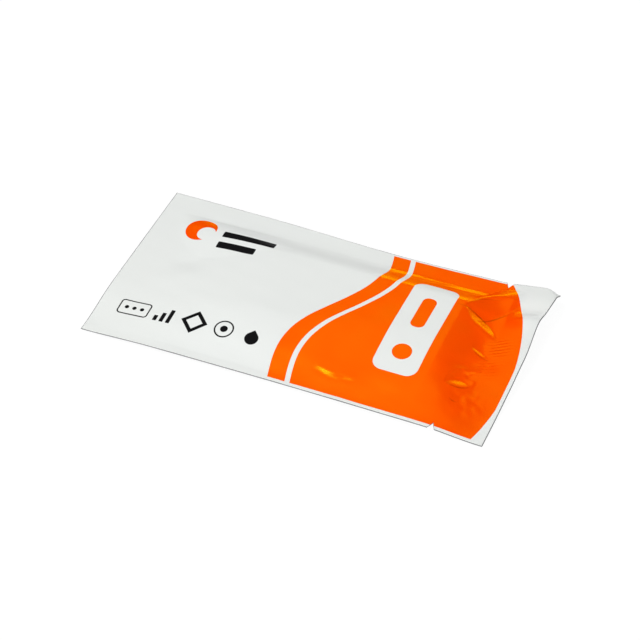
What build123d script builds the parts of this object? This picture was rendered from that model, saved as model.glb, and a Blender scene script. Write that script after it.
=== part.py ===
"""Sealed foil pouch that holds one lateral flow test cassette, lying flat on a table.

Two films are heat-sealed along all four sides around a cassette that can't be seen, so the
pack is one closed solid. The long axis is X with the tear end at +X, the printed film faces
+Z, and the origin is on the table under the middle of the pouch. Sizes are in millimetres.

Each film is a height above the table, worked out from the sizes below: the level of the seal,
the pillow over the cassette, and the gathers that run out of the two end seals.
"""

import math
import os
from typing import NamedTuple

from build123d import *

# The pouch as it is cut
POUCH_LENGTH = 132.0
POUCH_WIDTH = 70.0

# How far the pillow draws the edges in: the near one all along, the others over a stretch
NEAR_PULL_IN = 0.4
FAR_PULL_IN = 1.2
FAR_PULL_FROM_BACK = 30.0  # from the stretch to the back edge, and to the tear edge
FAR_PULL_FROM_TEAR = 6.0
TEAR_PULL_IN = 0.9
TEAR_PULL_FROM_FAR = 3.0  # from the stretch to the far edge
TEAR_PULL_RUN = 30.0

# The heat seals: both films fused, held above the table by what is inside
SEAL_THICKNESS = 0.3
SEAL_HEIGHT = 2.4
NEAR_SEAL = 5.0
FAR_SEAL = 6.5
BACK_SEAL = 8.5
TEAR_SEAL = 11.4
NEAR_DROOP = 0.9  # how far the near edge hangs below the seal's height
DROOP_REACH = 14.0

# The pillow over the cassette: its crest above the seal, and the way in from each seal to it
PILLOW_HEIGHT = 4.1
FAR_RISE = 10.5
BACK_RISE = 43.0
TEAR_RISE = 13.5
NEAR_RISE = 12.0  # at the back, and longer by the spread at the tear end
NEAR_SPREAD = 16.0
SPREAD_START = 45.0  # from the back seal to where the near slope starts to lengthen
SPREAD_REACH = 35.0
FOOT_CREASE = 0.5  # how steeply the film leaves its weld, as a share of the mean slope

# The underside: the way in from each seal to where it lies on the table, which presses it flat
UNDER_RISE = 18.0
UNDER_PRESS = 0.4

# The tear notches, one in each long edge
NOTCH_SETBACK = 16.4
NOTCH_WIDTH = 2.3
NOTCH_DEPTH = 2.4

# The tear end lies twisted: its near corner is down on the table and its far side is up
CURL_LIFT = 3.2
CURL_REACH = 20.0
CURL_LEVEL_Y = -9.0  # where along the tear edge the film is at seal height
CURL_HALF_WAVE = 60.0
TIP_DROOP = 1.4  # how far the far corner of the tear end bends down again
TIP_REACH = 6.0
CORNER_SAG = 0.75  # share of the way down to the table that the back near corner sags
CORNER_REACH = 24.0

# The net of heights that each film's spline is fitted to, and how closely it is followed
NET_STEP = 1.0
NET_MARGIN = 2.0
NET_TOLERANCE = 0.05


class Gather(NamedTuple):
    """A fold that starts at an end seal and runs in over the pillow."""

    seal_y: float
    run: float
    drift: float  # how far it moves along Y on its way in
    height: float  # above the pillow, or below it for a dent
    half_width: float


TEAR_GATHERS = (
    Gather(seal_y=29.0, run=16.0, drift=-9.0, height=0.6, half_width=2.4),
    Gather(seal_y=20.5, run=13.0, drift=-4.0, height=-1.5, half_width=3.4),
    Gather(seal_y=7.0, run=12.5, drift=6.5, height=0.7, half_width=2.2),
    Gather(seal_y=3.0, run=8.0, drift=-1.0, height=-0.7, half_width=2.2),
    Gather(seal_y=-5.5, run=11.0, drift=-4.0, height=-0.8, half_width=2.8),
    Gather(seal_y=-14.5, run=9.5, drift=-2.5, height=0.5, half_width=2.2),
    Gather(seal_y=-20.0, run=7.0, drift=0.0, height=-0.4, half_width=2.2),
)
BACK_GATHERS = (
    Gather(seal_y=2.0, run=20.0, drift=5.0, height=-0.3, half_width=4.0),
    Gather(seal_y=-6.0, run=22.0, drift=6.0, height=0.3, half_width=4.5),
)

half_length = POUCH_LENGTH / 2
half_width = POUCH_WIDTH / 2
tear_seal_x = half_length - TEAR_SEAL
back_seal_x = BACK_SEAL - half_length
notch_x = half_length - NOTCH_SETBACK
table_drop = SEAL_HEIGHT - SEAL_THICKNESS / 2
block_height = 2 * (SEAL_HEIGHT + PILLOW_HEIGHT + CURL_LIFT)


def share_of(distance, reach):
    return min(max(distance / reach, 0.0), 1.0)


def ease(distance, reach, crease=0.0):
    """From 0 to 1 over the reach: level at the crest, and at the foot too unless it is creased."""
    share = share_of(distance, reach)
    return share * (crease + (3 - 2 * crease) * share + (crease - 2) * share * share)


def from_seals(x, y):
    """How far a point lies in from the near, the far, the back and the tear seal."""
    near = half_width - NEAR_SEAL + y
    far = half_width - FAR_SEAL - y
    return near, far, x - back_seal_x, tear_seal_x - x


def seal_level(x, y):
    """The middle of the seal: level, apart from the twisted tear end and the drooping near side."""
    wave = math.sin(math.pi * (y - CURL_LEVEL_Y) / CURL_HALF_WAVE)
    swing = CURL_LIFT if wave > 0 else table_drop
    twist = ease(x - half_length + CURL_REACH, CURL_REACH)
    corner = ease(CORNER_REACH - half_width - y, CORNER_REACH)
    corner *= ease(CORNER_REACH - half_length - x, CORNER_REACH)
    droop = NEAR_DROOP * ease(DROOP_REACH - half_width - y, DROOP_REACH)
    sag = droop * (1 - corner) + CORNER_SAG * table_drop * corner
    tip = TIP_DROOP * ease(TIP_REACH - half_length + x - half_width + y, TIP_REACH)
    return SEAL_HEIGHT + swing * wave * twist - sag * (1 - twist) - tip


def gathering(x, y):
    """The sum of the folds: each is a bell across its line and swells between its two ends."""
    total = 0.0
    for folds, inward in ((TEAR_GATHERS, tear_seal_x - x), (BACK_GATHERS, x - back_seal_x)):
        for fold in folds:
            share = share_of(inward, fold.run)
            across = (y - fold.seal_y - fold.drift * share) / fold.half_width
            total += fold.height * math.sin(math.pi * share) ** 2 * math.exp(-across * across)
    return total


def upper_film(x, y):
    """Over the seal, the pillow is the product of a slope up from each of the four sides."""
    spread = NEAR_SPREAD * ease(x - back_seal_x - SPREAD_START, SPREAD_REACH)
    rises = (NEAR_RISE + spread, FAR_RISE, BACK_RISE, TEAR_RISE)
    slopes = [ease(inward, reach, FOOT_CREASE) for inward, reach in zip(from_seals(x, y), rises)]
    pillow = PILLOW_HEIGHT * math.prod(slopes)
    return seal_level(x, y) + SEAL_THICKNESS / 2 + pillow + gathering(x, y)


def lower_film(x, y):
    """Under the seal, it bellies down past the table's height, where the table cuts it flat."""
    belly = math.prod(ease(inward, UNDER_RISE) for inward in from_seals(x, y))
    return seal_level(x, y) - SEAL_THICKNESS / 2 - (table_drop + UNDER_PRESS) * belly


def film_face(height):
    """A spline face fitted to the film's heights on a square net that overhangs the pouch."""
    columns = math.ceil((POUCH_LENGTH + 2 * NET_MARGIN) / NET_STEP)
    rows = math.ceil((POUCH_WIDTH + 2 * NET_MARGIN) / NET_STEP)
    xs = [NET_STEP * (i - columns / 2) for i in range(columns + 1)]
    ys = [NET_STEP * (j - rows / 2) for j in range(rows + 1)]
    net = [[(x, y, height(x, y)) for y in ys] for x in xs]
    return Face.make_surface_from_array_of_points(net, tol=NET_TOLERANCE, min_deg=3, max_deg=3)


def drawn_in(place, start, end, pull_in):
    """How far in an edge lies: most half way along the stretch, and easing to nothing at its ends."""
    half = (end - start) / 2
    return pull_in * ease(half - abs(place - start - half), half)


near_back = (-half_length, -half_width)
near_tear = (half_length, -half_width)
far_tear = (half_length, half_width)
far_back = (-half_length, half_width)
far_pull_start = FAR_PULL_FROM_BACK - half_length
far_pull_end = half_length - FAR_PULL_FROM_TEAR
far_pull_middle = (far_pull_start + far_pull_end) / 2
tear_pull_end = half_width - TEAR_PULL_FROM_FAR
tear_pull_start = tear_pull_end - TEAR_PULL_RUN
tear_pull_middle = (tear_pull_start + tear_pull_end) / 2
near_notch = half_width - drawn_in(notch_x, -half_length, half_length, NEAR_PULL_IN)
far_notch = half_width - drawn_in(notch_x, far_pull_start, far_pull_end, FAR_PULL_IN)
upper_face = film_face(upper_film)
lower_face = film_face(lower_film)

with BuildPart() as foil_pouch:
    with BuildSketch():
        # The cut outline: straight edges, with curves where they are drawn in
        with BuildLine():
            Spline(near_back, (0, NEAR_PULL_IN - half_width), near_tear, tangents=[(1, 0), (1, 0)])
            tear_curve = Spline(
                (half_length, tear_pull_start),
                (half_length - TEAR_PULL_IN, tear_pull_middle),
                (half_length, tear_pull_end),
                tangents=[(0, 1), (0, 1)],
            )
            far_curve = Spline(
                (far_pull_start, half_width),
                (far_pull_middle, half_width - FAR_PULL_IN),
                (far_pull_end, half_width),
                tangents=[(1, 0), (1, 0)],
            )
            Line(near_tear, tear_curve @ 0)
            Polyline(tear_curve @ 1, far_tear, far_curve @ 1)
            Polyline(far_curve @ 0, far_back, near_back)
        make_face()
        # The two tear notches, each a V whose mouth is open past the edge
        for side, edge in ((-1, near_notch), (1, far_notch)):
            with BuildLine():
                Polyline(
                    (notch_x, side * (edge - NOTCH_DEPTH)),
                    (notch_x + NOTCH_WIDTH, side * (edge + NOTCH_DEPTH)),
                    (notch_x - NOTCH_WIDTH, side * (edge + NOTCH_DEPTH)),
                    close=True,
                )
            make_face(mode=Mode.SUBTRACT)
    # A block on the table, cut away above the upper film and below the lower one
    extrude(amount=block_height)
    extrude(upper_face, amount=block_height, dir=(0, 0, 1), mode=Mode.SUBTRACT)
    extrude(lower_face, amount=block_height, dir=(0, 0, -1), mode=Mode.SUBTRACT)

foil_pouch.part.label = "foil_pouch"
os.makedirs("parts", exist_ok=True)
export_step(foil_pouch.part, "parts/foil_pouch.step")
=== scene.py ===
"""Looks of the sealed foil pouch: the film with its folds and print, the table, the light and the camera.

The pouch is one closed skin of two films and a cut edge. Every height is worked out in millimetres
from the same rules as the CAD solid, with the sharper creases that thin film has.
"""

import math
from typing import NamedTuple

import bpy
import numpy as np
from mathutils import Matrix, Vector


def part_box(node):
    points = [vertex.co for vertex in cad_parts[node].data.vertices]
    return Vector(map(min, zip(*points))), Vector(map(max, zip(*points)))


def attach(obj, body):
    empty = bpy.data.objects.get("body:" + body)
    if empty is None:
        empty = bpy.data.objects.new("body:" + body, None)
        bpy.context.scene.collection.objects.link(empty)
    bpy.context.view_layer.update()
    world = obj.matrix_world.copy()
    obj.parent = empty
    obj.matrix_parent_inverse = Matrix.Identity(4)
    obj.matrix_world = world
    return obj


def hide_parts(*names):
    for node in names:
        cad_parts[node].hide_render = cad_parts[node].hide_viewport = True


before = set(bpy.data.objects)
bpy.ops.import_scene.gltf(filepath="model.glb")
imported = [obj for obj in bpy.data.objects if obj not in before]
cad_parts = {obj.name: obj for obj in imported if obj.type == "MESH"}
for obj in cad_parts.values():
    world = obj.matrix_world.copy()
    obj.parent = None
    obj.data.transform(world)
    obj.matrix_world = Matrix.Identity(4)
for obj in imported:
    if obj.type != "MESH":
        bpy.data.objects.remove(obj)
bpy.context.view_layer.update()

MM = 0.001
low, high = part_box("foil_pouch")

# The pouch as it is cut, from the CAD box
HALF_LENGTH = (high.x - low.x) / 2 / MM
HALF_WIDTH = (high.y - low.y) / 2 / MM

# How the pillow draws the edges in: by how much, and the middle and the half length of the stretch
NEAR_PULL = (0.4, 0.0, HALF_LENGTH)
FAR_PULL = (1.2, 12.0, 48.0)
TEAR_PULL = (0.9, 17.0, 15.0)
PULL_DEPTH = 14.0  # how far in from the tear edge its curve is taken up

# The heat seals: both films fused, held above the table by what is inside
FILM_GAP = 0.3
SEAL_HEIGHT = 2.4
NEAR_SEAL = 3.4
FAR_SEAL = 7.6
BACK_SEAL = 8.5
TEAR_SEAL = 10.4
NEAR_DROOP = 0.9  # how far the near edge hangs below the seal's height
DROOP_REACH = 14.0
EDGE_BEVEL = 0.26

# The pillow over the cassette: the way in from each seal to its crest, and its slopes at the seal and at
# the crest, as shares of the mean slope
PILLOW_HEIGHT = 4.0
FAR_RISE, FAR_FOOT, FAR_CREST = 10.2, 0.5, 0.5
BACK_RISE, BACK_FOOT, BACK_CREST = 43.0, 0.6, 0.0
TEAR_RISE, TEAR_FOOT, TEAR_CREST = 14.5, 0.6, 0.5
NEAR_RISE, NEAR_FOOT, NEAR_CREST = 22.0, 0.8, 0.2
NEAR_SPREAD = 8.0  # how much longer the near slope is at the tear end
SPREAD_START = 45.0
SPREAD_REACH = 35.0

# The underside: the way in from each seal to where it lies on the table, which presses it flat
UNDER_RISE = 18.0
UNDER_PRESS = 0.4

# The tear notches
NOTCH_SETBACK = 16.4
NOTCH_HALF_MOUTH = 1.15
NOTCH_DEPTH = 2.4

# The twisted tear end: its far side is up, its far tip bends down, and its near corner is on the table
CURL_LIFT = 3.2
CURL_REACH = 20.0
CURL_LEVEL_Y = -9.0  # where along the tear edge the film is at the seal's height
CURL_HALF_WAVE = 60.0
TIP_DROOP = 1.9
TIP_REACH = 4.5

# The sagging near corner of the back end
CORNER_SAG = 0.75  # share of the way down to the table
CORNER_REACH = 24.0

# The grid: the tear end, where the film is creased, has the closer columns
PLAIN_STEP = 1.0
CREASED_STEP = 0.34
CREASED_FROM = 18.0
ROWS = 176
PRINTED, PLAIN, CUT = range(3)  # the materials of the skin, in their order

TEAR_SEAL_X = HALF_LENGTH - TEAR_SEAL
BACK_SEAL_X = BACK_SEAL - HALF_LENGTH
NOTCH_X = HALF_LENGTH - NOTCH_SETBACK
TABLE_DROP = SEAL_HEIGHT - FILM_GAP / 2


class Gather(NamedTuple):
    """A soft fold that starts at an end seal and runs in over the pillow."""

    seal_y: float
    run: float
    drift: float  # how far it moves along Y on its way in
    height: float
    half_width: float


class Leaf(NamedTuple):
    """A leaf-shaped fold that runs along X: the Y where it starts, folds back and ends, each at four X."""

    at: tuple
    start: tuple
    fold: tuple
    end: tuple
    slope: float  # on the way from start to fold


class Crease(NamedTuple):
    """A soft crease along a line: the film is up to the left of the way from foot to head, and down to
    the right."""

    foot: tuple
    head: tuple
    half_width: float
    height: float


class Wave(NamedTuple):
    """A sine over the film: how fast its angle grows along X and along Y, and its angle at the middle."""

    along_x: float
    along_y: float
    middle: float


TEAR_GATHERS = (
    Gather(seal_y=29.0, run=16.0, drift=-9.0, height=0.55, half_width=2.4),
    Gather(seal_y=7.0, run=12.5, drift=5.5, height=0.35, half_width=1.8),
    Gather(seal_y=4.0, run=9.0, drift=-1.0, height=-0.3, half_width=2.2),
    Gather(seal_y=-4.5, run=12.0, drift=-4.0, height=-0.6, half_width=2.8),
    Gather(seal_y=-15.0, run=9.5, drift=-2.5, height=0.2, half_width=2.0),
    Gather(seal_y=-20.0, run=7.0, drift=0.0, height=-0.25, half_width=2.2),
)
BACK_GATHERS = (
    Gather(seal_y=2.0, run=20.0, drift=5.0, height=-0.3, half_width=4.0),
    Gather(seal_y=-6.0, run=22.0, drift=6.0, height=0.3, half_width=4.5),
)
LEAVES = (
    # The roll along the far side, at the back
    Leaf(
        at=(-58.5, -50.0, -32.0, -8.0),
        start=(21.0, 9.5, 12.0, 21.0),
        fold=(21.0, 20.5, 20.5, 21.0),
        end=(26.6, 26.6, 26.8, 27.0),
        slope=0.1,
    ),
    # The long leaf, and the ridge over it that runs out to the seal
    Leaf(
        at=(42.2, 46.3, 50.7, 56.0),
        start=(15.2, 10.0, 7.6, 6.4),
        fold=(15.2, 14.5, 11.6, 6.4),
        end=(16.7, 23.0, 25.7, 26.5),
        slope=-0.165,
    ),
    Leaf(
        at=(42.0, 46.5, 51.5, 57.0),
        start=(17.0, 14.6, 16.8, 26.2),
        fold=(17.0, 23.0, 25.6, 26.2),
        end=(21.0, 29.0, 31.5, 31.0),
        slope=0.14,
    ),
    # The short ones nearer to the middle
    Leaf(
        at=(49.0, 51.3, 53.6, 56.0),
        start=(0.6, -0.9, -1.6, -0.9),
        fold=(0.6, 0.4, -0.2, -0.9),
        end=(2.5, 3.6, 3.6, 2.0),
        slope=-0.26,
    ),
    Leaf(
        at=(51.0, 53.0, 55.0, 57.0),
        start=(-10.6, -11.9, -11.9, -10.5),
        fold=(-10.6, -10.3, -10.2, -10.5),
        end=(-9.4, -8.4, -8.0, -8.4),
        slope=-0.34,
    ),
    Leaf(
        at=(46.6, 49.2, 51.8, 54.6),
        start=(-16.9, -17.3, -16.7, -14.0),
        fold=(-16.9, -14.0, -13.2, -14.0),
        end=(-14.0, -9.6, -9.4, -11.0),
        slope=-0.19,
    ),
)
LEAF_BEND = 1.1  # above 1, the film grows steeper on its way to the fold
LEAST_LEAF_WIDTH = 1e-6
FAR_CREASES = (
    Crease(foot=(53.0, 28.2), head=(14.0, 24.6), half_width=0.7, height=0.05),
    Crease(foot=(50.0, 25.8), head=(20.0, 23.2), half_width=0.6, height=0.04),
)
NEAR_CREASES = (
    Crease(foot=(17.5, -27.2), head=(8.0, -24.8), half_width=0.8, height=-0.12),
    Crease(foot=(22.0, -25.6), head=(13.5, -26.0), half_width=0.8, height=-0.12),
)
FLAP_CREASES = (Crease(foot=(67.5, 20.4), head=(54.0, 20.0), half_width=3.2, height=0.85),)

# The film's slow unevenness: the height of each pair of crossed waves
UNEVEN_PAIRS = (
    (0.035, Wave(0.41, 0.30, 0.7), Wave(0.17, -0.53, 1.9)),
    (0.0245, Wave(0.23, -0.19, 2.6), Wave(0.11, 0.37, 0.0)),
)


def ease(distance, reach, foot=0.0, crest=0.0):
    """A cubic from 0 to 1 over the reach; foot and crest are its end slopes as shares of the mean slope."""
    share = np.clip(distance / reach, 0.0, 1.0)
    return share * (foot + (3 - 2 * foot - crest) * share + (foot + crest - 2) * share * share)


def from_seals(x, y):
    """The ways in from the near, the far, the back and the tear seal to each point."""
    return y + HALF_WIDTH - NEAR_SEAL, HALF_WIDTH - FAR_SEAL - y, x - BACK_SEAL_X, TEAR_SEAL_X - x


def creasing(x, y, creases):
    """Creases: across its line each is the distance times a bell, so up on one side and down on the other,
    and along its line it is a half sine."""
    total = np.zeros_like(x)
    for crease in creases:
        way_x, way_y = np.subtract(crease.head, crease.foot)
        length = np.hypot(way_x, way_y)
        from_x, from_y = x - crease.foot[0], y - crease.foot[1]
        along = np.clip((from_x * way_x + from_y * way_y) / length**2, 0.0, 1.0)
        across = (from_y * way_x - from_x * way_y) / length / crease.half_width
        total += crease.height * np.sin(np.pi * along) * across * np.exp((1 - across * across) / 2)
    return total


def seal_level(x, y):
    """The seal's middle: a level, plus a sine along Y that eases in over the tear end, less the near side's
    droop, the back corner's sag and the bent tip, with the creases of the flap."""
    wave = np.sin(np.pi * (y - CURL_LEVEL_Y) / CURL_HALF_WAVE)
    swing = np.where(wave > 0, CURL_LIFT, TABLE_DROP)
    twist = ease(x - HALF_LENGTH + CURL_REACH, CURL_REACH)
    corner = ease(CORNER_REACH - HALF_WIDTH - y, CORNER_REACH)
    corner = corner * ease(CORNER_REACH - HALF_LENGTH - x, CORNER_REACH)
    droop = NEAR_DROOP * ease(DROOP_REACH - HALF_WIDTH - y, DROOP_REACH)
    sag = droop * (1 - corner) + CORNER_SAG * TABLE_DROP * corner
    tip = TIP_DROOP * ease(TIP_REACH - (HALF_LENGTH - x) - (HALF_WIDTH - y), TIP_REACH)
    return SEAL_HEIGHT + swing * wave * twist - sag * (1 - twist) - tip + creasing(x, y, FLAP_CREASES)


def gathering(x, y):
    """Soft folds: each is a bell across its drifting line, times a squared sine along it."""
    total = np.zeros_like(x)
    for folds, inward in ((TEAR_GATHERS, TEAR_SEAL_X - x), (BACK_GATHERS, x - BACK_SEAL_X)):
        for fold in folds:
            share = np.clip(inward / fold.run, 0.0, 1.0)
            across = (y - fold.seal_y - fold.drift * share) / fold.half_width
            total += fold.height * np.sin(np.pi * share) ** 2 * np.exp(-across * across)
    return total


def folding(x, y):
    """Leaf-shaped folds: start, fold and end are cubics in X through their four places. Across the leaf the
    film slopes from the start to the fold by a power of the way, and comes back along a parabola to the
    end."""
    total = np.zeros_like(x)
    for leaf in LEAVES:
        way = np.clip(x, leaf.at[0], leaf.at[-1])
        lines = leaf.start, leaf.fold, leaf.end
        start, fold, end = (np.polyval(np.polyfit(leaf.at, line, 3), way) for line in lines)
        width = np.maximum(fold - start, LEAST_LEAF_WIDTH)
        slope = np.clip((y - start) / width, 0.0, 1.0) ** LEAF_BEND
        back = np.clip((y - fold) / (end - fold), 0.0, 1.0)
        total += leaf.slope * width * slope * (1 - back * back)
    return total


def unevenness(x, y):
    """A slow unevenness of the film: a sum of products of two crossed sines."""
    total = np.zeros_like(x)
    for height, first, second in UNEVEN_PAIRS:
        first_sine = np.sin(first.along_x * x + first.along_y * y + first.middle)
        second_sine = np.sin(second.along_x * x + second.along_y * y + second.middle)
        total += height * first_sine * second_sine
    return total


def upper_film(x, y):
    """The printed film: the seal's level, plus a pillow that is the product of four eased slopes, plus the
    folds, the creases and the unevenness."""
    spread = NEAR_SPREAD * ease(x - BACK_SEAL_X - SPREAD_START, SPREAD_REACH)
    near, far, back, tear = from_seals(x, y)
    pillow = PILLOW_HEIGHT * ease(near, NEAR_RISE + spread, NEAR_FOOT, NEAR_CREST)
    pillow *= ease(far, FAR_RISE, FAR_FOOT, FAR_CREST) * ease(back, BACK_RISE, BACK_FOOT, BACK_CREST)
    pillow *= ease(tear, TEAR_RISE, TEAR_FOOT, TEAR_CREST)
    seal = seal_level(x, y) + FILM_GAP / 2
    film = np.maximum(seal + pillow + gathering(x, y) + folding(x, y), seal)
    return film + creasing(x, y, FAR_CREASES + NEAR_CREASES) + unevenness(x, y)


def lower_film(x, y):
    """The back film: the seal's level less the product of four eased slopes, cut flat where it meets the
    table."""
    belly = np.full_like(x, TABLE_DROP + UNDER_PRESS)
    for inward in from_seals(x, y):
        belly = belly * ease(inward, UNDER_RISE)
    return np.maximum(seal_level(x, y) - FILM_GAP / 2 - belly, 0.0)


def drawn_in(place, pull_in, middle, half):
    """How far in an edge lies: most at the middle of the stretch, and easing to nothing at its two ends."""
    return pull_in * ease(half - np.abs(place - middle), half)


def long_edge(x, pull):
    """A long edge's distance from the middle line: straight, less where it is drawn in and the V of the
    notch."""
    notch = NOTCH_DEPTH * np.clip(1 - np.abs(x - NOTCH_X) / NOTCH_HALF_MOUTH, 0.0, 1.0)
    return HALF_WIDTH - drawn_in(x, *pull) - notch


def grid_columns():
    """Where the columns stand along X: wide steps, then close ones, and the corners of the notches. They
    are rounded, so that two that fall together are one."""
    plain = np.arange(-HALF_LENGTH, CREASED_FROM, PLAIN_STEP)
    creased_steps = round((HALF_LENGTH - CREASED_FROM) / CREASED_STEP)
    creased = np.linspace(CREASED_FROM, HALF_LENGTH, creased_steps + 1)
    notch = NOTCH_X + NOTCH_HALF_MOUTH * np.array((-1.0, 0.0, 1.0))
    return np.unique(np.concatenate((plain, creased, notch)).round(4))


def outline_grid(columns, inset):
    """Plan places on the grid: each column runs straight from the near edge to the far one, both moved in
    by the inset, and the last columns bow in towards the middle of the tear edge."""
    base = np.clip(columns, inset - HALF_LENGTH, HALF_LENGTH - inset)[:, None]
    across = np.linspace(0.0, 1.0, ROWS)[None, :]
    near = inset - long_edge(base, NEAR_PULL)
    far = long_edge(base, FAR_PULL) - inset
    y = near + (far - near) * across
    bow = drawn_in(y, *TEAR_PULL)
    return base - bow * ease(base - HALF_LENGTH + PULL_DEPTH, PULL_DEPTH), y


def rim_of(grid):
    """The grid's outer places in order, counterclockwise from above."""
    return np.concatenate((grid[:, 0], grid[-1, 1:], grid[-2::-1, -1], grid[0, -2:0:-1]))


def points_of(x, y, z):
    """A list of points from three arrays of the same shape."""
    return np.stack((x, y, z), axis=-1).reshape(-1, 3)


def quads_between(first, second):
    """Faces that join two closed loops of the same length, place by place."""
    return np.stack((first, np.roll(first, -1), np.roll(second, -1), second), axis=1)


def pouch_mesh(name, materials):
    """One closed skin: the upper film and the lower film on the same grid, joined round their edges through
    a loop at the cut outline, so that the cut edge has a bevel on both sides."""
    columns = grid_columns()
    film_x, film_y = outline_grid(columns, EDGE_BEVEL)
    cut_x, cut_y = (rim_of(side) for side in outline_grid(columns, 0.0))
    top = points_of(film_x, film_y, upper_film(film_x, film_y))
    under = points_of(film_x, film_y, lower_film(film_x, film_y))
    cut = points_of(cut_x, cut_y, np.maximum(seal_level(cut_x, cut_y), 0.0))
    numbers = np.arange(film_x.size).reshape(film_x.shape)
    cell_corners = numbers[:-1, :-1], numbers[1:, :-1], numbers[1:, 1:], numbers[:-1, 1:]
    cells = np.stack(cell_corners, axis=-1).reshape(-1, 4)
    rim = rim_of(numbers)
    cut_loop = 2 * film_x.size + np.arange(len(rim))
    edge = np.concatenate((quads_between(cut_loop, rim), quads_between(rim + film_x.size, cut_loop)))
    faces = np.concatenate((cells, cells[:, ::-1] + film_x.size, edge))
    finish = np.repeat((PRINTED, PLAIN, CUT), (len(cells), len(cells), len(edge)))
    points = np.concatenate((top, under, cut)) * MM
    mesh = bpy.data.meshes.new(name)
    mesh.vertices.add(len(points))
    mesh.vertices.foreach_set("co", points.ravel())
    mesh.loops.add(faces.size)
    mesh.loops.foreach_set("vertex_index", faces.ravel())
    mesh.polygons.add(len(faces))
    mesh.polygons.foreach_set("loop_start", np.arange(0, faces.size, 4))
    mesh.polygons.foreach_set("material_index", finish)
    mesh.polygons.foreach_set("use_smooth", finish != CUT)
    mesh.update(calc_edges=True)
    for material in materials:
        mesh.materials.append(material)
    return mesh


class Wire:
    """An output socket of a node. Arithmetic on it adds Math nodes, and node() adds any other kind."""

    def __init__(self, socket):
        self.socket = socket

    def node(self, kind, settings, inputs, output=0):
        """Adds a node to this wire's tree: its settings first, then a value or a link for each socket."""
        tree = self.socket.id_data
        made = tree.nodes.new(kind)
        for name, value in settings.items():
            setattr(made, name, value)
        for name, value in inputs.items():
            if isinstance(value, Wire):
                tree.links.new(value.socket, made.inputs[name])
            else:
                made.inputs[name].default_value = value
        return Wire(made.outputs[output])

    def math(self, operation, *values):
        return self.node("ShaderNodeMath", {"operation": operation}, dict(enumerate(values)))

    def noise(self, scale, detail=0.0, roughness=0.5):
        """A noise, from 0 to 1, over the places that this wire gives."""
        inputs = {"Vector": self, "Scale": scale, "Detail": detail, "Roughness": roughness}
        return self.node("ShaderNodeTexNoise", {}, inputs)

    def colour(self, first, second):
        """The first colour where this wire is 0 and the second where it is 1. Sockets 6 and 7 of a Mix node
        and its output 2 are its colours."""
        return self.node("ShaderNodeMix", {"data_type": "RGBA"}, {0: self, 6: first, 7: second}, 2)

    def shader(self, first, second):
        """The first shader where this wire is 0 and the second where it is 1."""
        return self.node("ShaderNodeMixShader", {}, {0: self, 1: first, 2: second})

    def principled(self, inputs):
        return self.node("ShaderNodeBsdfPrincipled", {}, inputs)

    def __add__(self, other):
        return self.math("ADD", self, other)

    def __sub__(self, other):
        return self.math("SUBTRACT", self, other)

    def __rsub__(self, other):
        return self.math("SUBTRACT", other, self)

    def __mul__(self, other):
        return self.math("MULTIPLY", self, other)

    def __neg__(self):
        return self.math("MULTIPLY", self, -1.0)

    def __abs__(self):
        return self.math("ABSOLUTE", self)

    def __and__(self, other):
        """The greater of the two: where both shapes are, for signed distances."""
        return self.math("MAXIMUM", self, other)

    def __or__(self, other):
        """The lesser of the two: where either shape is, for signed distances."""
        return self.math("MINIMUM", self, other)

    __radd__ = __add__
    __rmul__ = __mul__


def object_place(material):
    """Each point's place in the object, in metres."""
    return Wire(material.node_tree.nodes.new("ShaderNodeTexCoord").outputs["Object"])


PRINT_BLUR = 0.05


class Print:
    """Flat shapes on the film as signed distances in millimetres, below zero inside, from places in the
    object."""

    def __init__(self, place):
        flat = {0: place, 1: (1 / MM, 1 / MM, 0)}
        self.place = place.node("ShaderNodeVectorMath", {"operation": "MULTIPLY"}, flat)
        self.x = place.node("ShaderNodeSeparateXYZ", {}, {0: self.place}, "X")
        self.y = place.node("ShaderNodeSeparateXYZ", {}, {0: self.place}, "Y")

    def disc(self, x, y, radius):
        """The distance from the centre, less the radius."""
        ends = {0: self.place, 1: (x, y, 0)}
        away = self.place.node("ShaderNodeVectorMath", {"operation": "DISTANCE"}, ends, "Value")
        return away - radius

    def patch(self, x, y, reach):
        """Not a distance but a share: 1 at the middle of a round patch, falling evenly to 0 at its rim."""
        return self.disc(x, y, reach) * (-1 / reach) & 0.0

    def block(self, x, y, wide, tall, corner=0.15):
        """A rectangle with rounded corners: the length of what lies past the inner rectangle, less the
        radius."""
        over_x = abs(self.x - x) - (wide / 2 - corner) & 0.0
        over_y = abs(self.y - y) - (tall / 2 - corner) & 0.0
        past = over_x * over_x + over_y * over_y
        return past.math("SQRT", past) - corner

    def diamond(self, x, y, reach):
        """A square on its corner: the sum of the two distances from its middle, less its reach."""
        return (abs(self.x - x) + abs(self.y - y) - reach) * math.sqrt(0.5)

    def drop(self, x, y, radius):
        """A disc with a right-angled point above it, whose sides touch the disc."""
        point = self.diamond(x, y, radius * math.sqrt(2)) & y + radius * math.sqrt(0.5) - self.y
        return self.disc(x, y, radius) | point

    def drawn_in(self, pull_in, middle, half):
        """How far in a long edge lies at each X: most at the middle of the stretch, and easing to nothing
        at its two ends."""
        ends = {"Value": abs(self.x - middle), "From Min": half, "From Max": 0.0, "To Max": pull_in}
        return self.x.node("ShaderNodeMapRange", {"interpolation_type": "SMOOTHSTEP"}, ends)

    def fill(self, distance):
        """1 inside the shape and 0 outside, over a narrow blur."""
        return (0.5 - distance * (0.5 / PRINT_BLUR) & 0.0) | 1.0


def stroke(distance, weight):
    """The outline of a shape, as a band that is centred on its edge."""
    return abs(distance) - weight / 2


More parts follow.
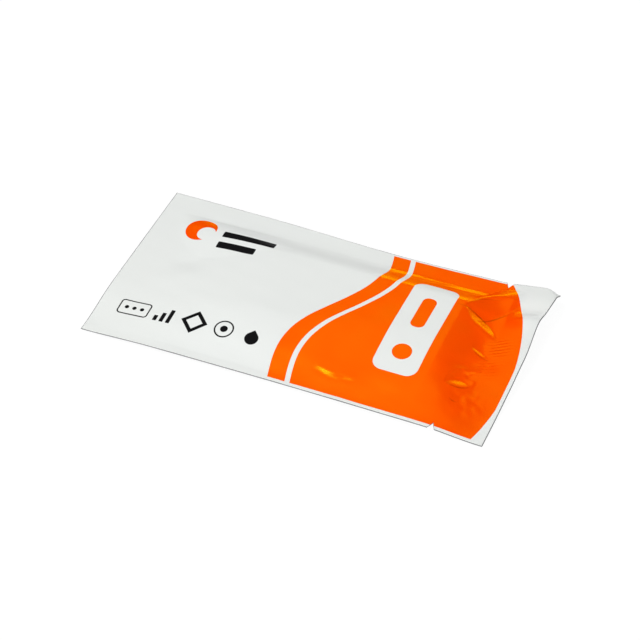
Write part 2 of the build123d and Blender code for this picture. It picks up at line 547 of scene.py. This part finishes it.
# The orange field: its margins, its wavy back edge, the round of its tear side, and the stripe in it
FAR_MARGIN, NEAR_MARGIN, TEAR_MARGIN = 0.9, 1.4, 1.4
FIELD_X, FIELD_LEAN, FIELD_WAVE = 3.5, 0.2, 5.0
FIELD_ROUND = (-15.0, -11.5, 80.0)
STRIPE_INSET, STRIPE_WEIGHT = 6.5, 1.6
DRAWN_CASSETTE_X = 31.0
MARK_Y = -21.5  # of the row of black marks


def orange_shapes(art):
    """The orange field with its wavy back edge and stripe, the cassette drawn in it, and the crescent."""
    wave = art.x.math("SINE", art.y * (math.pi / HALF_WIDTH)) * FIELD_WAVE
    back = FIELD_X + art.y * FIELD_LEAN + wave - art.x
    far = art.y + art.drawn_in(*FAR_PULL) - (HALF_WIDTH - FAR_MARGIN)
    near = art.drawn_in(*NEAR_PULL) - art.y - (HALF_WIDTH - NEAR_MARGIN)
    tear = art.disc(*FIELD_ROUND) & art.x - (HALF_LENGTH - TEAR_MARGIN)
    stripe = stroke(back + STRIPE_INSET, STRIPE_WEIGHT)
    body = art.block(DRAWN_CASSETTE_X, 1.0, wide=14.5, tall=41.0, corner=3.5)
    window = art.block(DRAWN_CASSETTE_X, 7.0, wide=4.6, tall=14.0, corner=2.0)
    well = art.disc(DRAWN_CASSETTE_X, -11.0, radius=3.1)
    cassette = body & -window & -well
    field = back & far & near & tear & -stripe & -cassette
    crescent = art.disc(-50.0, 19.6, radius=5.2) & -art.disc(-47.6, 18.0, radius=3.0)
    return field | crescent


def black_shapes(art):
    """Two bars beside the crescent, and a row of plain marks along the near side."""
    long_bar = art.block(-33.0, 19.0, wide=18.0, tall=2.8, corner=0.4)
    short_bar = art.block(-35.5, 14.0, wide=13.0, tall=2.8, corner=0.4)
    marks = stroke(art.block(-54.0, MARK_Y, wide=10.0, tall=5.6, corner=1.0), weight=0.45)
    for dot_x in (-56.6, -54.0, -51.4):
        marks = marks | art.disc(dot_x, MARK_Y, radius=0.7)
    for step_x, below, tall in ((-46.0, 1.9, 2.2), (-43.8, 1.1, 3.8), (-41.6, 0.2, 5.6)):
        marks = marks | art.block(step_x, MARK_Y - below, wide=1.3, tall=tall)
    lozenge = stroke(art.diamond(-33.5, MARK_Y, reach=3.6), weight=1.2)
    ring = stroke(art.disc(-23.5, MARK_Y, radius=2.9), weight=0.5)
    ring_middle = art.disc(-23.5, MARK_Y, radius=1.2)
    drop = art.drop(-14.0, MARK_Y - 0.7, radius=2.2)
    return long_bar | short_bar | marks | lozenge | ring | ring_middle | drop


class FoldLine(NamedTuple):
    """A fine crease along part of a circle: the circle, then the middle of the part and how far it
    reaches. Its depth is bumped into the film, and its shade is painted shade: the ink darkened along it."""

    centre: tuple
    radius: float
    middle: tuple
    reach: float
    depth: float
    # painted shade: how far the orange ink is darkened along the crease, standing in for its shadow
    shade: float  # how far the ink is darkened in it


FOLD_LINES = (
    FoldLine(centre=(40.2, -2.1), radius=17.4, middle=(46.6, 14.1), reach=8.0, depth=2.5, shade=0.9),
    FoldLine(centre=(30.1, 35.9), radius=29.3, middle=(50.6, 15.0), reach=7.0, depth=1.2, shade=0.8),
    FoldLine(centre=(51.8, 13.4), radius=10.3, middle=(44.4, 20.6), reach=7.0, depth=1.5, shade=0.5),
    FoldLine(centre=(49.7, -10.9), radius=6.0, middle=(51.2, -16.7), reach=4.5, depth=1.5, shade=0.6),
    FoldLine(centre=(55.4, 5.9), radius=8.0, middle=(52.8, -1.6), reach=4.0, depth=1.5, shade=0.5),
    FoldLine(centre=(52.2, -19.5), radius=2.6, middle=(51.8, -22.1), reach=1.8, depth=1.0, shade=0.5),
)
FOLD_LINE_HALF_WIDTH = 0.45

# The tear seal's fine ripples in two patches, the second fainter, and the crumpled part below them
RIPPLE_PITCH, RIPPLE_SLANT, RIPPLE_DEPTH = 1.4, 0.48, 2.8
RIPPLE_PATCH = (57.2, 3.6, 5.0)
FAINT_PATCH, FAINTER_BY = (57.2, -5.0, 5.0), 0.1
CRUMPLE_SCALE, CRUMPLE_DEPTH = 0.42, 7.0
CRUMPLE_PATCH = (55.0, -20.5, 7.0)


def fold_lines(art, strengths):
    """Fine creases: each is a V across its arc, which fades away from its middle, times its strength. Taken
    with the depths it is a bump, and with the shades it is where the painted shade lies.
    """
    total = 0.0
    for line, strength in zip(FOLD_LINES, strengths):
        groove = 1.0 - abs(art.disc(*line.centre, line.radius)) * (1 / FOLD_LINE_HALF_WIDTH) & 0.0
        total = total + groove * art.patch(*line.middle, line.reach) * strength
    return total


def seal_ripples(art):
    """Fine ripples in the tear seal, a sine across them, and below them a crumpled part, a noise. Each
    fades away from the middle of its patch."""
    wave = art.x.math("SINE", (art.y - art.x * RIPPLE_SLANT) * (2 * math.pi / RIPPLE_PITCH))
    patches = art.patch(*RIPPLE_PATCH) & art.patch(*FAINT_PATCH) - FAINTER_BY
    crumple = (art.place.noise(CRUMPLE_SCALE) - 0.5) * art.patch(*CRUMPLE_PATCH)
    return wave * patches * RIPPLE_DEPTH + crumple * CRUMPLE_DEPTH


# The film's bump: its orange peel and its faint creases
PEEL_SCALE, PEEL_SHARE = 420.0, 0.2
FAINT_CREASE_SCALE = 60.0
BUMP_DISTANCE = 0.0002
FILM_BUMP = 0.25
CUT_BUMP = 0.4


def film_bump(place, strength, ripples=0.0):
    """The film's slight orange peel and its faint creases, two noises, with any ripples, as one bump."""
    peel = place.noise(PEEL_SCALE, detail=1.0) * PEEL_SHARE
    height = peel + place.noise(FAINT_CREASE_SCALE) + ripples
    inputs = {"Strength": strength, "Distance": BUMP_DISTANCE, "Height": height}
    return place.node("ShaderNodeBump", {}, inputs)


# Colours, each with the one that it clouds over to, and the gloss that they share
WHITE_FILM, CLOUDED_WHITE = (0.77, 0.79, 0.765, 1), (0.745, 0.765, 0.75, 1)
ORANGE_INK, CLOUDED_ORANGE = (1.0, 0.067, 0.0, 1), (0.98, 0.061, 0.0, 1)
# Painted shade: the dark brown that the orange ink is mixed to along the fold lines, for the shadow in the
# creases
PAINTED_CREASE_SHADE = (0.4, 0.02, 0.0, 1)
BLACK_INK = (0.006, 0.006, 0.0065, 1)
BACK_FILM = (0.76, 0.78, 0.76, 1)
CUT_LAMINATE = (0.2, 0.2, 0.205, 1)
CUT_METAL = 0.15  # the foil's share of the cut
CLOUD_SCALE = 24.0
FILM_ROUGHNESS, RUBBED_BY, RUB_SCALE = 0.23, 0.14, 38.0
WHITE_SPECULAR, BLACK_SPECULAR = 0.03, 0.02

# The ink's own gleam, from the foil under it
INK_LUSTRE = (1.0, 0.8, 0.01, 1)
LUSTRE_SHARE = 0.12
LUSTRE_PATCH_SCALE = 85.0


def new_material(name):
    material = bpy.data.materials.new(name)
    material.use_nodes = True
    material.node_tree.nodes.remove(material.node_tree.nodes["Principled BSDF"])
    return material


def show(material, surface):
    output = material.node_tree.nodes["Material Output"]
    material.node_tree.links.new(surface.socket, output.inputs["Surface"])
    return material


def printed_film():
    """White film with black and orange ink: the three are mixed where the print's shapes lie. Along the
    fold lines the orange ink is darkened towards brown: painted shade.
    """
    material = new_material("printed_film_front")
    place = object_place(material)
    art = Print(place)
    creases = fold_lines(art, [line.depth for line in FOLD_LINES])
    rub = place.noise(RUB_SCALE, detail=4.0, roughness=0.6) - 0.5
    gloss = {
        "Roughness": FILM_ROUGHNESS + rub * RUBBED_BY,
        "Normal": film_bump(place, FILM_BUMP, seal_ripples(art) - creases),
    }
    cloud = place.noise(CLOUD_SCALE)
    paper = cloud.colour(WHITE_FILM, CLOUDED_WHITE)
    film = place.principled({"Base Color": paper, "Specular IOR Level": WHITE_SPECULAR, **gloss})
    # Painted shade: the orange ink is mixed towards dark brown along the fold lines, for the creases'
    # shadow
    crease_shade_mask = fold_lines(art, [line.shade for line in FOLD_LINES]) | 1.0
    ink = crease_shade_mask.colour(cloud.colour(ORANGE_INK, CLOUDED_ORANGE), PAINTED_CREASE_SHADE)
    pigment = place.principled({"Base Color": ink, "Specular IOR Level": 0.0, **gloss})
    lustre = {"Base Color": INK_LUSTRE, "Metallic": 1.0, "Specular Tint": INK_LUSTRE, **gloss}
    lustre_share = LUSTRE_SHARE * (0.5 + place.noise(LUSTRE_PATCH_SCALE, detail=1.0))
    orange = lustre_share.shader(pigment, place.principled(lustre))
    black = place.principled({"Base Color": BLACK_INK, "Specular IOR Level": BLACK_SPECULAR, **gloss})
    printed = art.fill(orange_shapes(art)).shader(film, orange)
    return show(material, art.fill(black_shapes(art)).shader(printed, black))


WORN_SHARE = 0.93
WORN_SCALE = 30.0
WORN_ROUGHNESS = 0.2


def plain_film(name, colour, roughness, strength, metal=0.0):
    """Unprinted film, or the bare cut of the laminate, which is partly metal."""
    material = new_material(name)
    place = object_place(material)
    cloud = place.noise(WORN_SCALE, detail=3.0)
    worn = tuple(WORN_SHARE * part for part in colour[:3]) + (1,)
    inputs = {
        "Base Color": cloud.colour(colour, worn),
        "Roughness": roughness + (cloud - 0.5) * WORN_ROUGHNESS,
        "Metallic": metal,
        "Normal": film_bump(place, strength),
    }
    return show(material, place.principled(inputs))


FLOOR_REACH = 3.0
FLOOR_DROP = 0.00005
FLOOR_COLOUR = (0.92, 0.92, 0.92, 1)
FLOOR_GLOW, FLOOR_GLOW_SHARE = 1.04, 0.88


def floor_material():
    """White to the camera and in reflections, with an eighth of it a lit surface that takes the shadow."""
    material = new_material("white_floor")
    path = material.node_tree.nodes.new("ShaderNodeLightPath")
    seen = Wire(path.outputs["Is Camera Ray"])
    seen = seen & Wire(path.outputs["Is Glossy Ray"]) & Wire(path.outputs["Is Transmission Ray"])
    lit = seen.node("ShaderNodeBsdfDiffuse", {}, {"Color": FLOOR_COLOUR})
    glow = seen.node("ShaderNodeEmission", {}, {"Color": (1, 1, 1, 1), "Strength": FLOOR_GLOW})
    return show(material, (seen * FLOOR_GLOW_SHARE).shader(lit, glow))


def add_object(name, data):
    made = bpy.data.objects.new(name, data)
    bpy.context.scene.collection.objects.link(made)
    return made


# The pouch
films = (
    printed_film(),
    plain_film("plain_film_back", BACK_FILM, roughness=0.3, strength=FILM_BUMP),
    plain_film("foil_cut_edge", CUT_LAMINATE, roughness=0.5, strength=CUT_BUMP, metal=CUT_METAL),
)
pouch = add_object("foil_pouch_skin", pouch_mesh("foil_pouch_skin", films))
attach(pouch, "root")
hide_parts("foil_pouch")

# The table
floor_sides = ((-1, -1), (1, -1), (1, 1), (-1, 1))
floor_corners = [(along * FLOOR_REACH, across * FLOOR_REACH, -FLOOR_DROP) for along, across in floor_sides]
floor_mesh = bpy.data.meshes.new("white_floor")
floor_mesh.from_pydata(floor_corners, [], [(0, 1, 2, 3)])
floor_mesh.materials.append(floor_material())
floor = add_object("white_floor", floor_mesh)


def aim(made, azimuth, elevation, distance, target):
    """Puts a lamp or camera off the target at two angles in degrees, looking back at it. Azimuth 0 is
    behind the pouch, at +Y, and grows towards +X."""
    around, up = math.radians(azimuth), math.radians(elevation)
    away = Vector((math.sin(around) * math.cos(up), math.cos(around) * math.cos(up), math.sin(up)))
    made.location = Vector(target) + away * distance
    made.rotation_euler = away.to_track_quat("Z", "Y").to_euler()


class Softbox(NamedTuple):
    """A rectangular lamp: where it stands, and how wide and tall the pouch sees it, in degrees."""

    name: str
    azimuth: float
    elevation: float
    wide: float
    tall: float
    radiance: float


LAMP_DISTANCE = 1.2
SOFTBOXES = (
    Softbox("front_key", azimuth=200.0, elevation=30.0, wide=44.0, tall=30.0, radiance=5.0),
    Softbox("left_key", azimuth=-95.0, elevation=35.0, wide=40.0, tall=30.0, radiance=1.3),
    Softbox("right_key", azimuth=95.0, elevation=35.0, wide=40.0, tall=30.0, radiance=3.0),
    Softbox("top_fill", azimuth=120.0, elevation=70.0, wide=40.0, tall=40.0, radiance=0.7),
    Softbox("back_left_panel", azimuth=-29.0, elevation=54.0, wide=26.0, tall=48.0, radiance=0.55),
    Softbox("fold_glint", azimuth=4.0, elevation=20.0, wide=20.0, tall=14.0, radiance=3.4),
    Softbox("hip_glint", azimuth=-15.0, elevation=11.0, wide=12.0, tall=14.0, radiance=3.2),
    Softbox("back_strip", azimuth=-17.0, elevation=5.0, wide=50.0, tall=10.0, radiance=1.0),
    Softbox("near_foot_glint", azimuth=-90.0, elevation=64.0, wide=14.0, tall=14.0, radiance=11.0),
)
WORLD_STRENGTH = 0.1

# The light
for softbox in SOFTBOXES:
    lamp = bpy.data.lights.new(softbox.name, "AREA")
    lamp.shape = "RECTANGLE"
    lamp.size = 2 * LAMP_DISTANCE * math.tan(math.radians(softbox.wide / 2))
    lamp.size_y = 2 * LAMP_DISTANCE * math.tan(math.radians(softbox.tall / 2))
    lamp.energy = softbox.radiance * math.pi * lamp.size * lamp.size_y
    stand = add_object(softbox.name, lamp)
    aim(stand, softbox.azimuth, softbox.elevation, LAMP_DISTANCE, target=(0, 0, 0))
world = bpy.data.worlds.new("studio")
world.use_nodes = True
background = world.node_tree.nodes["Background"]
background.inputs["Color"].default_value = (1, 1, 1, 1)
background.inputs["Strength"].default_value = WORLD_STRENGTH
bpy.context.scene.world = world
bpy.context.scene.view_settings.view_transform = "Standard"

# The camera
CAMERA_AZIMUTH, CAMERA_ELEVATION = 157.04, 41.77
CAMERA_DISTANCE = 0.85113
CAMERA_TARGET = (0.001, -0.00385, 0.0021)
CAMERA_SENSOR, CAMERA_LENS = 36.0, 155.05
CAMERA_CLIP_END = 10.0
lens = bpy.data.cameras.new("camera")
lens.sensor_width = CAMERA_SENSOR
lens.lens = CAMERA_LENS
lens.clip_end = CAMERA_CLIP_END
camera = add_object("camera", lens)
aim(camera, CAMERA_AZIMUTH, CAMERA_ELEVATION, CAMERA_DISTANCE, CAMERA_TARGET)
bpy.context.scene.camera = camera
